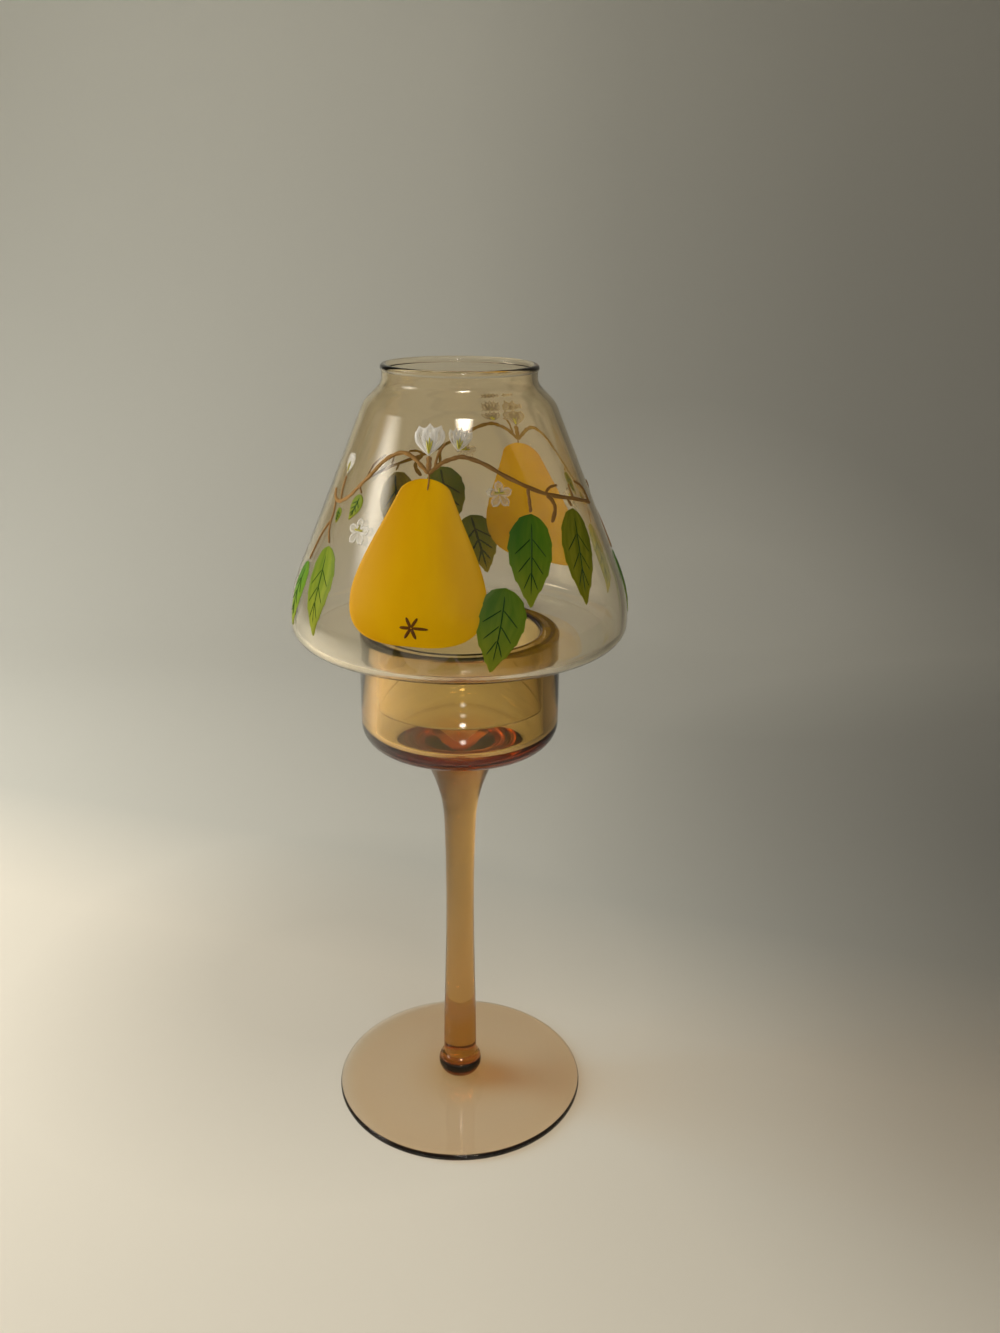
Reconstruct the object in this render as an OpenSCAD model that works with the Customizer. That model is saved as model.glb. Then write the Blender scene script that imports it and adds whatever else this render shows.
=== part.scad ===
// Stemmed votive candle holder in amber glass, with a lift-off clear glass shade.
// The shade carries a fruit bough in fired enamel: fruit, leaves, twigs and blossom.
// Millimetres, +Z up, origin at the centre of the foot's underside.

/* [Foot] */
// Radius of the foot disc
foot_r = 40; // [30:0.5:50]
// Thickness of the foot at its rim
foot_rim_h = 2.4; // [1.6:0.1:3]
// Thickness of the foot at its centre
foot_h = 4.2; // [3.4:0.1:8]
// Width of the flat ring that the foot stands on
foot_ring_w = 5; // [3:0.5:8]
// Depth of the hollow ground out under the foot
foot_hollow = 0.6; // [0.3:0.1:1.2]

/* [Knop] */
// Height of the small round knop between foot and stem
knop_h = 7.3; // [5:0.1:12]
// Largest radius of the knop
knop_r = 7; // [6.4:0.1:11]
// Radius of the knop where it is joined to the foot
knop_end_r = 5.35; // [5:0.05:6]

/* [Stem] */
// Height of the drawn solid stem
stem_h = 113.1; // [80:0.5:160]
// Radius of the stem where it stands on the knop
stem_low_r = 5.35; // [5:0.05:6]
// Radius of the stem at its waist
stem_waist_r = 4.4; // [3.5:0.1:4.9]
// Height of the waist above the knop
stem_waist_z = 58.5; // [40:0.5:70]
// Gain in radius from the waist to where the flare starts
stem_neck_gain = 0.5; // [0:0.1:1.5]
// Height of the flare at the top of the stem
stem_flare_h = 27.6; // [15:0.1:30]
// Radius of the curve of the flare
stem_flare_round = 50; // [40:1:80]
// Height of the skirt in which the flare spreads out under the cup
stem_skirt_h = 8.2; // [5:0.1:12]

/* [Cup] */
// Outer radius of the cup
cup_r = 29.5; // [28:0.1:34]
// Height of the cup
cup_h = 34; // [28:0.5:60]
// Thickness of the cup's side wall
cup_wall = 4.1; // [3:0.1:5]
// Thickness of the glass under the candle
cup_floor = 4.6; // [3:0.1:9]
// Radius of the cup's outer bottom edge
cup_edge_round = 7; // [2:0.5:10]
// Radius in the corner of the cup's floor
cup_corner_round = 3; // [1:0.5:4]
// Rounding of the cup's rim, inside and outside
cup_rim_round = 1.3; // [0.5:0.1:1.4]

/* [Shade] */
// Height of the shade above the cup's rim
shade_h = 76.8; // [70:0.2:110]
// Largest radius of the shade
shade_r = 48.7; // [44:0.1:60]
// Thickness of the shade's glass
shade_wall = 1.6; // [1.4:0.1:2.4]
// Radius of the turned-in bottom edge
curl_round = 5.5; // [4:0.1:8]
// Radius of the belly between the bottom edge and the cone
belly_round = 38; // [20:1:50]
// Outer radius of the shade's neck
neck_r = 21.4; // [18:0.1:24]
// Height of the straight part of the neck
neck_h = 2.4; // [1:0.1:8]
// Radius of the curve from the shoulder up into the neck
neck_round = 4; // [3:0.1:6]
// Length of the shoulder beside the neck
shoulder_w = 5.5; // [3:0.1:8]
// Slope of the shoulder from upright
shoulder_angle = 45; // [40:1:60]
// Rounding between shoulder and cone
shoulder_round = 7.5; // [3:0.1:8]
// Thickness of the melted rim at the top
bead_d = 2; // [1.8:0.1:3]
// Depth of the collar that hangs in the cup and keeps the shade in place
collar_h = 20.6; // [5:0.1:22]
// Clearance all round between the collar and the cup
collar_gap = 0.5; // [0.3:0.1:1]

/* [Enamel] */
// Thickness of a coat of enamel
enamel_h = 0.2; // [0.1:0.05:0.4]
// Thickness of the line work laid over a coat
line_h = 0.15; // [0.1:0.05:0.3]
// Angle from the first bough to the second
bough_turn = 160; // [150:1:178]
// Angle of the first fruit from the front
fruit_turn = -14; // [-30:1:0]
// Angle from where the twigs of a bough meet to the middle of its fruit
fruit_offset = -1.2; // [-3:0.1:2]
// Height of a fruit
fruit_h = 43; // [30:0.5:44]
// Width of a fruit
fruit_w = 36.5; // [24:0.5:37]
// Height of the fruit's middle above the cup's rim
fruit_z = 31.4; // [28:0.2:34]
// Width of a twig
twig_w = 1.3; // [0.9:0.1:1.5]
// Width of a leaf vein
vein_w = 0.35; // [0.25:0.05:0.5]
// Size of a blossom
blossom_r = 3.9; // [3:0.1:4.2]

/* [Hidden] */
$fn = 96;

// Heights of the joints between the pieces
knop_z = foot_h;
stem_z = knop_z + knop_h;
cup_z = stem_z + stem_h;
seat_z = cup_z + cup_h;

amber = [0.80, 0.55, 0.25, 0.8];
clear = [0.88, 0.87, 0.82, 0.4];
fruit_yellow = [0.85, 0.62, 0.02];
leaf_green = [0.15, 0.38, 0.08];
vein_green = [0.03, 0.10, 0.03];
twig_brown = [0.35, 0.20, 0.08];
blossom_white = [0.92, 0.90, 0.82];
stamen_green = [0.62, 0.60, 0.20];

// Points of an arc round (cx, cy), from angle a to angle b in n steps
function arc(cx, cy, r, a, b, n) =
    [for (i = [0:n]) let (t = a + (b - a) * i / n) [cx + r * cos(t), cy + r * sin(t)]];

// FOOT
foot_top_r = foot_r - foot_rim_h / 2;
foot_ring_r = foot_top_r - foot_ring_w;

// Height of the foot's top at radius r: it rises to the centre with no edge
function foot_top(r) =
    foot_rim_h + (foot_h - foot_rim_h) * pow((foot_top_r - r) / (foot_top_r - knop_end_r), 3);

// Depth of the ground hollow at radius r
function foot_under(r) = foot_hollow * (1 - pow(r / foot_ring_r, 2));

module foot() {
    steps = 12;
    color(amber)
        rotate_extrude()
            polygon(concat(
                [for (i = [0:steps]) let (r = foot_ring_r * i / steps) [r, foot_under(r)]],
                arc(foot_top_r, foot_rim_h / 2, foot_rim_h / 2, -90, 90, 10),
                [for (i = [1:steps])
                    let (r = foot_top_r + (knop_end_r - foot_top_r) * i / steps) [r, foot_top(r)]],
                [[0, foot_h]]));
}

// KNOP
knop_bulge = knop_r - knop_end_r;
knop_round = (pow(knop_h / 2, 2) + pow(knop_bulge, 2)) / (2 * knop_bulge);
knop_half = asin(knop_h / 2 / knop_round);

module knop() {
    color(amber)
        translate([0, 0, knop_z])
            rotate_extrude()
                polygon(concat(
                    [[0, 0]],
                    arc(knop_r - knop_round, knop_h / 2, knop_round, -knop_half, knop_half, 14),
                    [[0, knop_h]]));
}

// STEM
flare_z = stem_h - stem_flare_h;
skirt_z = stem_h - stem_skirt_h;

// Radius of the stem at height z above the knop
function stem_low(z) =
    stem_waist_r + (stem_low_r - stem_waist_r) * (1 + cos(180 * min(z / stem_waist_z, 1))) / 2;
function stem_neck(z) =
    stem_neck_gain * pow(max(z - stem_waist_z, 0) / (flare_z - stem_waist_z), 2);
function stem_flare(z) =
    stem_flare_round - sqrt(pow(stem_flare_round, 2) - pow(max(z - flare_z, 0), 2));
function stem_radius(z) = stem_low(z) + stem_neck(z) + stem_flare(z);

// The skirt carries the flare's curve on, tighter, until it is nearly flat under the cup
skirt_end = 80;
skirt_start = asin((skirt_z - flare_z) / stem_flare_round);
skirt_round = stem_skirt_h / (sin(skirt_end) - sin(skirt_start));
skirt_c = [stem_radius(skirt_z) + skirt_round * cos(skirt_start),
           skirt_z - skirt_round * sin(skirt_start)];

module stem() {
    steps = 44;
    color(amber)
        translate([0, 0, stem_z])
            rotate_extrude()
                polygon(concat(
                    [[0, 0]],
                    [for (i = [0:steps - 1]) let (z = skirt_z * i / steps) [stem_radius(z), z]],
                    arc(skirt_c[0], skirt_c[1], skirt_round, 180 - skirt_start, 180 - skirt_end, 10),
                    [[0, stem_h]]));
}

// CUP
cup_inner_r = cup_r - cup_wall;

module cup() {
    color(amber)
        translate([0, 0, cup_z])
            rotate_extrude()
                polygon(concat(
                    [[0, 0]],
                    arc(cup_r - cup_edge_round, cup_edge_round, cup_edge_round, -90, 0, 10),
                    arc(cup_r - cup_rim_round, cup_h - cup_rim_round, cup_rim_round, 0, 90, 6),
                    arc(cup_inner_r + cup_rim_round, cup_h - cup_rim_round, cup_rim_round, 90, 180, 6),
                    arc(cup_inner_r - cup_corner_round, cup_floor + cup_corner_round,
                        cup_corner_round, 0, -90, 10),
                    [[0, cup_floor]]));
}

// SHADE
// Its outline is worked out from the seat upward: curl, belly, cone, shoulder, neck
curl_r = shade_r - curl_round;
belly_r = shade_r - belly_round;
belly_z = seat_z + curl_round;
top_z = seat_z + shade_h;
neck_z = top_z - bead_d / 2 - neck_h;
fillet_r = neck_r + neck_round;

// Corner where the shoulder and the cone would meet, and the slope of the cone, which
// touches the belly's arc
corner = [fillet_r - neck_round * cos(shoulder_angle) + shoulder_w * sin(shoulder_angle),
          neck_z - neck_round * sin(shoulder_angle) - shoulder_w * cos(shoulder_angle)];
corner_reach = norm(corner - [belly_r, belly_z]);
cone_angle = atan2(corner[1] - belly_z, corner[0] - belly_r) - acos(belly_round / corner_reach);

// Centre of the arc that rounds that corner
corner_cut = shoulder_round * tan((shoulder_angle - cone_angle) / 2);
shoulder_c = corner + corner_cut * [sin(cone_angle), -cos(cone_angle)]
    - shoulder_round * [cos(cone_angle), sin(cone_angle)];

// The wall's line at depth d under the outer surface, from the bottom edge to the neck
function wall_line(d) = concat(
    arc(curl_r, belly_z, curl_round - d, -90, 0, 10),
    arc(belly_r, belly_z, belly_round - d, 0, cone_angle, 4),
    arc(shoulder_c[0], shoulder_c[1], shoulder_round - d, cone_angle, shoulder_angle, 4),
    arc(fillet_r, neck_z, -neck_round - d, shoulder_angle, 0, 6));

function backwards(list) = [for (i = [len(list) - 1:-1:0]) list[i]];

// The melted rim is a little thicker than the neck, and flush inside
bead_r = bead_d / 2;
bead_c = neck_r - shade_wall + bead_r;
bead_start = -acos((neck_r - bead_c) / bead_r);

// The collar hangs in the cup with its clearance
collar_r = cup_inner_r - collar_gap;
collar_inner_r = collar_r - shade_wall;

module shade() {
    color(clear)
        rotate_extrude()
            polygon(concat(
                arc(collar_r - shade_wall / 2, seat_z - collar_h + shade_wall / 2,
                    shade_wall / 2, -180, 0, 8),
                [[collar_r, seat_z]],
                wall_line(0),
                arc(bead_c, top_z - bead_r, bead_r, bead_start, 180, 12),
                backwards(wall_line(shade_wall)),
                arc(collar_r, seat_z, shade_wall, 90, 180, 6)));
}

// ENAMEL
// A skin that lies on the wall, from depth low to depth high outside it
module skin(low, high) {
    rotate_extrude()
        polygon(concat(wall_line(-low), backwards(wall_line(-high))));
}

// Radius of the wall at height z, on its straight cone or on the belly
function cone_radius(z) = corner[0] + (corner[1] - z) * tan(cone_angle);
belly_top = belly_z + belly_round * sin(cone_angle);
function wall_radius(z) = z > belly_top
    ? cone_radius(z)
    : belly_r + sqrt(pow(belly_round, 2) - pow(z - belly_z, 2));

// How far a flat outline is carried inward and outward of the wall before the skin cuts it
cut_in = 9;
cut_out = 3;

// Puts a flat outline against the wall, at an angle from the front and a height over
// the cup's rim, leaning with the wall and turned in its own plane
module at_wall(turn, height, lean = 0) {
    z = seat_z + height;
    rotate([0, 0, turn])
        translate([0, -wall_radius(z), z])
            rotate([90 - cone_angle, 0, 0])
                rotate([0, 0, lean])
                    translate([0, 0, -cut_in])
                        linear_extrude(cut_in + cut_out)
                            children();
}

module coat() {
    intersection() {
        skin(0, enamel_h);
        union() children();
    }
}

module line_work() {
    intersection() {
        skin(enamel_h, enamel_h + line_h);
        union() children();
    }
}

// Two boughs go round the shade, one after the other
module boughs() {
    for (turn = [fruit_turn, fruit_turn + bough_turn])
        rotate([0, 0, turn]) children();
}

// Half the width of a fruit at share t of its height, from the bottom: a round base,
// straight flanks with a slight waist, and a narrow rounded top
fruit_low = 0.3;
fruit_neck = 5.4;
fruit_waist = 1.1;
fruit_cap = 0.93;
fruit_square = 2.8;
function fruit_base(t) =
    fruit_w / 2 * pow(1 - pow((fruit_low - t) / fruit_low, fruit_square), 1 / fruit_square);
function fruit_flank(u) =
    fruit_neck + (fruit_w / 2 - fruit_neck) * (1 - u) - fruit_waist * sin(180 * u);
function fruit_top(t) = t < fruit_cap ? 1 : sqrt(1 - pow((t - fruit_cap) / (1 - fruit_cap), 2));
function fruit_side(t) = t < fruit_low
    ? fruit_base(t)
    : fruit_flank(pow((t - fruit_low) / (1 - fruit_low), 1.5)) * fruit_top(t);

module fruit_shape() {
    steps = 20;
    side = [for (i = [1:steps - 1])
        let (t = (1 - cos(180 * i / steps)) / 2) [fruit_side(t), fruit_h * (t - 0.5)]];
    polygon(concat(
        side,
        [[0, fruit_h / 2]],
        [for (p = backwards(side)) [-p[0], p[1]]]));
}

// The leaves that lie over a fruit's edge are cut out of its coat
module fruit() {
    color(fruit_yellow)
        difference() {
            coat()
                boughs()
                    at_wall(fruit_offset, fruit_z) fruit_shape();
            boughs()
                each_leaf(leaves_on_fruit) leaf_shape($leaf_l, $leaf_w);
        }
}

// The dried blossom end of a fruit: a six-rayed star low on its side
eye_rays = 6;
eye_r = 3.2;
eye_long = 1.5;
eye_core = 0.75;
eye_drop = fruit_h * 0.39;

module eye_shape() {
    polygon([for (i = [0:2 * eye_rays - 1])
        let (r = i == 0 ? eye_r * eye_long : i % 2 == 0 ? eye_r : eye_core, t = 180 * i / eye_rays)
            [r * cos(t), r * sin(t)]]);
}

module fruit_eyes() {
    color(twig_brown)
        line_work()
            boughs()
                at_wall(fruit_offset, fruit_z)
                    translate([0, -eye_drop]) eye_shape();
}

// LEAVES
// One leaf to a row: angle and height of its stalk end, lean, length and width
leaf_set = [
    [29.5, 25.4, -15, 21.6, 13],
    [44, 42.2, -13, 24.4, 12.6],
    [68, 41.6, -15, 26.2, 12],
    [-43.8, 31.2, 8, 24.4, 11],
    [-56.8, 25, -6, 19, 8.4],
    [-32.6, 45.4, -18, 7.4, 4.2],
    [-44.7, 41, 4, 4.2, 2.6]
];
leaves_on_fruit = [leaf_set[0]];
leaf_teeth = 6;
leaf_tooth = 0.4;

// Half the width of a leaf at share t of its length from the stalk
function leaf_side(t, w) = w / 2 * pow(sin(180 * pow(t, 0.68)), 0.8);

function leaf_flank(l, w) = [
    for (i = [0:leaf_teeth - 1])
        for (s = [0.12, 0.55, 1])
            let (t = (i + s) / leaf_teeth)
                if (t < 1)
                    [leaf_side(t, w) + (s == 1 ? leaf_tooth * w / 12 : 0), -l * t]];

module leaf_shape(l, w) {
    flank = leaf_flank(l, w);
    polygon(concat(
        [[0, 0]],
        flank,
        [[0, -l]],
        [for (p = backwards(flank)) [-p[0], p[1]]]));
}

module each_leaf(set = leaf_set) {
    for (leaf = set)
        at_wall(leaf[0], leaf[1], leaf[2]) {
            $leaf_l = leaf[3];
            $leaf_w = leaf[4];
            children();
        }
}

module leaves() {
    color(leaf_green)
        coat()
            boughs()
                each_leaf() leaf_shape($leaf_l, $leaf_w);
}

// A straight stroke from p to q that narrows to its end
module stroke(p, q, w) {
    along = (q - p) / norm(q - p);
    side = [-along[1], along[0]] * w / 2;
    polygon([p + side, p - side, q - side / 3, q + side / 3]);
}

// Side veins leave the midrib at these shares of the leaf's length, run down by vein_fall
// and end at vein_reach of the way to the edge
vein_share = [0.2, 0.4, 0.6];
vein_fall = 0.2;
vein_reach = 0.72;

module vein_shape(l, w) {
    stroke([0, -0.05 * l], [0, -0.9 * l], vein_w * 1.5);
    for (t = vein_share, side = [-1, 1])
        let (low = t + vein_fall)
            stroke([0, -l * t], [side * vein_reach * leaf_side(low, w), -l * low], vein_w);
}

module leaf_veins() {
    color(vein_green)
        line_work()
            boughs()
                each_leaf() vein_shape($leaf_l, $leaf_w);
}

// TWIGS
// Each is a smooth line through its points, given as angle and height, with its width as a
// share of the full one. It stands up from the glass as a low ridge.
twig_set = [
    [1, [[-55.6, 45], [-53.4, 43.2], [-50, 42.4], [-46, 42.6], [-40.6, 44.4], [-35.6, 47.4],
         [-30, 50.9], [-23.5, 54.8], [-15.3, 56.9], [-9, 56.2], [-4, 54.2], [0, 52.4]]],
    [1, [[0, 52.4], [5.2, 54.9], [11, 56.2], [16, 56.5], [25, 54.9], [37, 51], [53.5, 46.5],
         [72.6, 43.5], [88, 40.8]]],
    [0.7, [[-51, 42.5], [-49, 39.4], [-48.8, 37.2], [-47.4, 34.6], [-44.2, 31.8]]],
    [0.6, [[-48.8, 37.4], [-53.4, 32.6], [-56.6, 25.6]]],
    [0.9, [[44.8, 48.7], [44.4, 45.6], [44, 42.6]]],
    [1.2, [[54, 46.4], [56.6, 44.4], [56.8, 42.4], [53.4, 39.4]]],
    [0.6, [[-0.4, 52.6], [-0.5, 54.4], [-0.7, 56]]],
    [0.7, [[66.4, 44.4], [67.8, 42.1]]],
    [0.7, [[53.6, 46.6], [57, 47.8], [62, 48]]],
    [0.6, [[2.4, 53.6], [3.6, 57], [7, 59.8]]],
    [0.6, [[71, 43.8], [70.4, 47.6]]],
    [0.7, [[86, 41.2], [83.6, 45.4], [76.4, 47.8]]],
    [0.5, [[-35.4, 47.6], [-34.4, 46.8], [-32.8, 45.8]]],
    [0.7, [[-46, 42.7], [-48, 45.4], [-48.6, 48.8]]]
];
twig_step = 6;
twig_seat = 0.04;
twig_h = 0.3;

function curve_at(a, b, c, d, t) =
    0.5 * (2 * b + (c - a) * t + (2 * a - 5 * b + 4 * c - d) * t * t
        + (3 * b - a - 3 * c + d) * t * t * t);

// Points along a smooth line through the given ones
function smooth(p) = [
    for (i = [0:len(p) - 2])
        for (s = [0:twig_step - (i == len(p) - 2 ? 0 : 1)])
            curve_at(p[max(i - 1, 0)], p[i], p[i + 1], p[min(i + 2, len(p) - 1)], s / twig_step)];

// A point of the wall at an angle from the front and a height over the rim, lifted off it
function on_wall(turn, height, lift) =
    let (z = seat_z + height, r = wall_radius(z) + lift)
        [r * sin(turn), -r * cos(turn), z];

function arc_length(turn, height) = turn * PI / 180 * wall_radius(seat_z + height);

// The three corners of the ridge at point i of a line of n + 1 points
function ridge(line, i, n, w) =
    let (a = line[max(i - 1, 0)],
         b = line[min(i + 1, n)],
         p = line[i],
         run = arc_length(b[0] - a[0], p[1]),
         rise = (b[1] - a[1]) / cos(cone_angle),
         half = w / 2 * (i == 0 || i == n ? 0.5 : 1) / norm([run, rise]),
         turn = -rise * half / arc_length(1, p[1]),
         up = run * half * cos(cone_angle))
        [on_wall(p[0] - turn, p[1] - up, twig_seat),
         on_wall(p[0] + turn, p[1] + up, twig_seat),
         on_wall(p[0], p[1], twig_h)];

module twig(share, points) {
    line = smooth(points);
    n = len(line) - 1;
    corners = [for (i = [0:n]) each ridge(line, i, n, twig_w * share)];
    sides = [for (i = [0:n - 1], k = [0:2])
        let (a = 3 * i + k, b = 3 * i + (k + 1) % 3)
            each [[a, b + 3, b], [a, a + 3, b + 3]]];
    polyhedron(corners, concat([[0, 1, 2]], sides, [[3 * n + 2, 3 * n + 1, 3 * n]]));
}

module twigs() {
    color(twig_brown)
        boughs()
            for (t = twig_set) twig(t[0], t[1]);
}

// BLOSSOM
// One blossom to a row: angle and height of its base, lean, size, first and last petal
// angle from its middle, and number of petals. Seen from the side its petals fan upward;
// seen from the front they go all round, shorter and fuller.
blossom_set = [
    [-1, 56.7, 2, 1.12, -25, 25, 5],
    [13.2, 57.9, -8, 0.84, -28, 28, 5],
    [-48.8, 49.4, 6, 0.8, -12, 12, 3],
    [-28.7, 36.6, 0, 0.9, -144, 144, 5],
    [31, 47.4, 0, 0.86, -144, 144, 5]
];
all_round = 90;
side_petal = 0.34;
front_petal = 0.62;
front_share = 0.58;

// A petal that points up from the blossom's base, with half its width as a share of r
module petal(r, share) {
    steps = 8;
    side = [for (i = [1:steps - 1])
        let (t = i / steps) [r * share * pow(sin(180 * pow(t, 1.3)), 0.8), 2 * r * t]];
    polygon(concat(
        [[0, 0]],
        side,
        [[0, 1.9 * r]],
        [for (p = backwards(side)) [-p[0], p[1]]]));
}

module blossom_shape(size, low, high, count) {
    front = high > all_round;
    r = blossom_r * size * (front ? front_share : 1);
    translate([0, front ? 0 : r * 0.1]) circle(r * (front ? 0.6 : 0.2), $fn = 16);
    for (i = [0:count - 1])
        rotate([0, 0, low + (high - low) * i / (count - 1)])
            petal(r, front ? front_petal : side_petal);
}

// Three stamens with round heads
stamen_w = 0.4;
stamen_head_r = 0.38;

module stamen_shape(size, low, high) {
    r = blossom_r * size * (high > all_round ? 0.5 : 1);
    for (t = [-0.5, 0, 0.5])
        let (tip = r * (1.1 - abs(t) * 0.3) * [sin(high * t), cos(high * t)]) {
            stroke([0, stamen_w], tip, stamen_w);
            translate(tip) circle(stamen_head_r, $fn = 14);
        }
}

module blossoms() {
    color(blossom_white)
        coat()
            boughs()
                for (b = blossom_set)
                    at_wall(b[0], b[1], b[2]) blossom_shape(b[3], b[4], b[5], b[6]);
}

module stamens() {
    color(stamen_green)
        line_work()
            boughs()
                for (b = blossom_set)
                    at_wall(b[0], b[1], b[2]) stamen_shape(b[3], b[4], b[5]);
}

foot();
knop();
stem();
cup();
shade();
fruit();
fruit_eyes();
leaves();
leaf_veins();
twigs();
blossoms();
stamens();
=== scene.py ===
"""Looks of the stemmed votive holder: amber glass, a clear shade and its enamel bough.

Shapes are worked out in millimetres in the row's frame (+Z up, -Y to the front) and
written to the meshes in metres. Angles of the bough are in degrees from each fruit.
"""

import math

import bpy
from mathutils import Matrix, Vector


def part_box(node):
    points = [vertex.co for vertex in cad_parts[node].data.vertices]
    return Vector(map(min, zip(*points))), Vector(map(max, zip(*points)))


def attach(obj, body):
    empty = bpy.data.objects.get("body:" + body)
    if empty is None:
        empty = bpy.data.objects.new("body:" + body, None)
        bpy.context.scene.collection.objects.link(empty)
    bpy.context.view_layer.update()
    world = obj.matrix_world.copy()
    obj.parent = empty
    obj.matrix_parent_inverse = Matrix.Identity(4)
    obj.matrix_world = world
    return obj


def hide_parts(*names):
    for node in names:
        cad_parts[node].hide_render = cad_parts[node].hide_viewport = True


MM = 0.001

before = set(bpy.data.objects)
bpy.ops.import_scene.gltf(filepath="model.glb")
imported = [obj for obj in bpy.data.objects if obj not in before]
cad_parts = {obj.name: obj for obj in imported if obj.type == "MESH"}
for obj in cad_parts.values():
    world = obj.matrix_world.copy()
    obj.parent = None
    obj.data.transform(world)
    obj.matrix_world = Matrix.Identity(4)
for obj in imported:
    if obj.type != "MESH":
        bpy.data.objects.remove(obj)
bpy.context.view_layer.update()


# ---------------------------------------------------------------- sizes, in mm


def round_node(name):
    """Radius, lowest and highest point of a round CAD node."""
    low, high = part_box(name)
    return high.x / MM, low.z / MM, high.z / MM


FOOT_R, _, KNOP_Z = round_node("foot")
KNOP_R, _, STEM_Z = round_node("knop")
_, _, CUP_Z = round_node("stem")
CUP_R, _, SEAT_Z = round_node("cup")
SHADE_R, COLLAR_Z, TOP_Z = round_node("shade")

FOOT_RIM_H = 2.4
FOOT_RING_W = 5
FOOT_HOLLOW = 0.6
KNOP_END_R = 5.35
STEM_LOW_R = 5.35
STEM_WAIST_R = 4.4
STEM_WAIST_Z = 58.5
STEM_NECK_GAIN = 0.5
STEM_FLARE_H = 27.6
STEM_FLARE_ROUND = 50
STEM_SKIRT_H = 8.2
SKIRT_END = 80
CUP_WALL = 4.1
CUP_FLOOR = 4.6
CUP_EDGE_ROUND = 7
CUP_CORNER_ROUND = 3
CUP_RIM_ROUND = 1.3
SHADE_WALL = 1.6
CURL_ROUND = 5.5
BELLY_ROUND = 38
NECK_R = 21.4
NECK_H = 2.4
NECK_ROUND = 4
SHOULDER_W = 5.5
SHOULDER_ANGLE = 45
SHOULDER_ROUND = 7.5
BEAD_D = 2
COLLAR_GAP = 0.5

BOUGH_TURN = 160
FRUIT_TURN = -14
FRUIT_OFFSET = -1.2
FRUIT_H = 43
FRUIT_W = 36.5
FRUIT_Z = 31.4


def spaced(start, end, steps):
    """Evenly spaced numbers, both ends included."""
    return [start + (end - start) * i / steps for i in range(steps + 1)]


def arc(cx, cz, r, start, end, steps):
    """Points of an arc round (cx, cz) between two angles in degrees."""
    turns = [math.radians(a) for a in spaced(start, end, steps)]
    return [(cx + r * math.cos(a), cz + r * math.sin(a)) for a in turns]


# ---------------------------------------------------------------- outlines of the glass

FOOT_TOP_R = FOOT_R - FOOT_RIM_H / 2
FOOT_RING_R = FOOT_TOP_R - FOOT_RING_W


def foot_top(r):
    """Height of the foot's top at radius r."""
    share = (FOOT_TOP_R - r) / (FOOT_TOP_R - KNOP_END_R)
    return FOOT_RIM_H + (KNOP_Z - FOOT_RIM_H) * share**3


def foot_under(r):
    """Height of the hollow ground out under the foot."""
    return FOOT_HOLLOW * (1 - (r / FOOT_RING_R) ** 2)


def stem_radius(z):
    """Radius of the stem at height z above the knop."""
    flare_z = CUP_Z - STEM_Z - STEM_FLARE_H
    fall = (1 + math.cos(math.pi * min(z / STEM_WAIST_Z, 1))) / 2
    low = STEM_WAIST_R + (STEM_LOW_R - STEM_WAIST_R) * fall
    neck = STEM_NECK_GAIN * (max(z - STEM_WAIST_Z, 0) / (flare_z - STEM_WAIST_Z)) ** 2
    rise = max(z - flare_z, 0)
    return low + neck + STEM_FLARE_ROUND - math.sqrt(STEM_FLARE_ROUND**2 - rise**2)


def stem_line():
    """Outline of the stem over its first point, with the skirt that spreads under the cup."""
    skirt_z = CUP_Z - STEM_Z - STEM_SKIRT_H
    start = math.asin((STEM_FLARE_H - STEM_SKIRT_H) / STEM_FLARE_ROUND)
    end = math.radians(SKIRT_END)
    skirt_round = STEM_SKIRT_H / (math.sin(end) - math.sin(start))
    line = [(stem_radius(z), STEM_Z + z) for z in spaced(0, skirt_z, 110)[1:-1]]
    centre_r = stem_radius(skirt_z) + skirt_round * math.cos(start)
    centre_z = STEM_Z + skirt_z - skirt_round * math.sin(start)
    angles = 180 - math.degrees(start), 180 - SKIRT_END
    return line + arc(centre_r, centre_z, skirt_round, *angles, 28)


def foot_and_knop():
    """Outline of the foot from the axis outward and back in, then of the knop."""
    knop_h = STEM_Z - KNOP_Z
    bulge = KNOP_R - KNOP_END_R
    knop_round = ((knop_h / 2) ** 2 + bulge**2) / (2 * bulge)
    half = math.degrees(math.asin(knop_h / 2 / knop_round))
    rim = FOOT_RIM_H / 2
    points = [(r, foot_under(r)) for r in spaced(0, FOOT_RING_R, 16)]
    points += arc(FOOT_TOP_R, rim, rim, -90, 90, 20)
    points += [(r, foot_top(r)) for r in spaced(FOOT_TOP_R, KNOP_END_R, 40)[1:-1]]
    return points + arc(KNOP_R - knop_round, KNOP_Z + knop_h / 2, knop_round, -half, half, 20)


def cup_outline():
    """Outline of the cup from the end of its flat underside to the axis of its floor."""
    inner = CUP_R - CUP_WALL
    rim_z = SEAT_Z - CUP_RIM_ROUND
    corner_z = CUP_Z + CUP_FLOOR + CUP_CORNER_ROUND
    points = arc(CUP_R - CUP_EDGE_ROUND, CUP_Z + CUP_EDGE_ROUND, CUP_EDGE_ROUND, -90, 0, 28)
    points += arc(CUP_R - CUP_RIM_ROUND, rim_z, CUP_RIM_ROUND, 0, 90, 10)
    points += arc(inner + CUP_RIM_ROUND, rim_z, CUP_RIM_ROUND, 90, 180, 10)
    points += arc(inner - CUP_CORNER_ROUND, corner_z, CUP_CORNER_ROUND, 0, -90, 24)
    return points + [(0, CUP_Z + CUP_FLOOR)]


def holder_outline():
    """The amber glass is one body, joined hot, so it is one closed outline."""
    return foot_and_knop() + stem_line() + cup_outline()


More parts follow.
